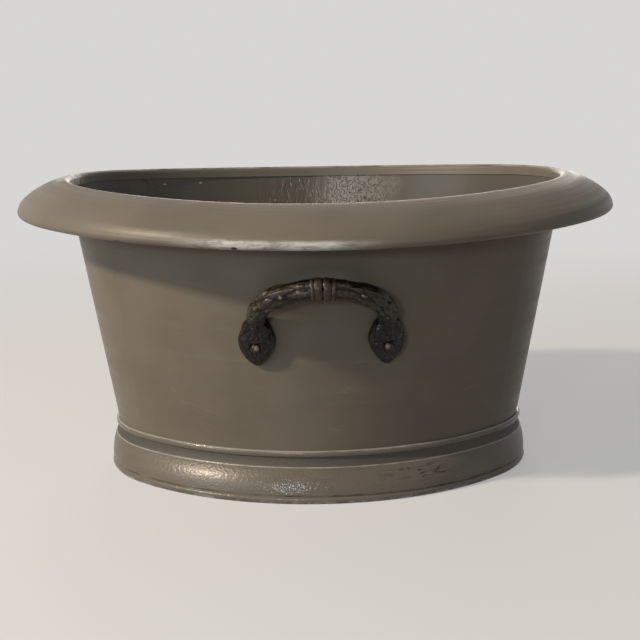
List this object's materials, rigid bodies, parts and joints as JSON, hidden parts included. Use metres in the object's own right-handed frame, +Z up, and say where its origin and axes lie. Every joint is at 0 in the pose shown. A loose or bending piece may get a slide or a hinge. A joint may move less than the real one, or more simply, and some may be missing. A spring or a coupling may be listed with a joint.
{
  "type": "cachepot",
  "caption": "Oval painted tinplate cachepot with a wide rolled rim, a stepped foot moulding and a cast carrying handle riveted to each long side.",
  "frame": {"origin": "middle of the ground plane, under the middle of the pot", "axes": "+X along the length, +Y across the width towards the rear handle, +Z up"},
  "size_m": [0.4138, 0.3336, 0.2055],
  "materials": {
    "painted_tin": "brushed-on satin oil paint, grey-taupe, crackled and chalky in places",
    "edge_wire": "plain drawn iron wire, hidden in the rolled edges",
    "dark_casting": "blackened cast brass, glossy where handled, brown metal worn through on the high spots",
    "worn_brass": "hammered brass, dark with age"
  },
  "bodies": {
    "root": {"wall_front": "painted_tin", "wall_rear": "painted_tin", "rim_front": "painted_tin", "rim_rear": "painted_tin", "foot_moulding": "painted_tin", "base_plate": "painted_tin", "rim_wire_front": "edge_wire", "rim_wire_rear": "edge_wire", "foot_wire": "edge_wire", "handle_front": "dark_casting", "handle_rear": "dark_casting", "rivet_front_left": "worn_brass", "burr_front_left": "worn_brass", "rivet_front_right": "worn_brass", "burr_front_right": "worn_brass", "rivet_rear_left": "worn_brass", "burr_rear_left": "worn_brass", "rivet_rear_right": "worn_brass", "burr_rear_right": "worn_brass"}
  },
  "joints": []
}
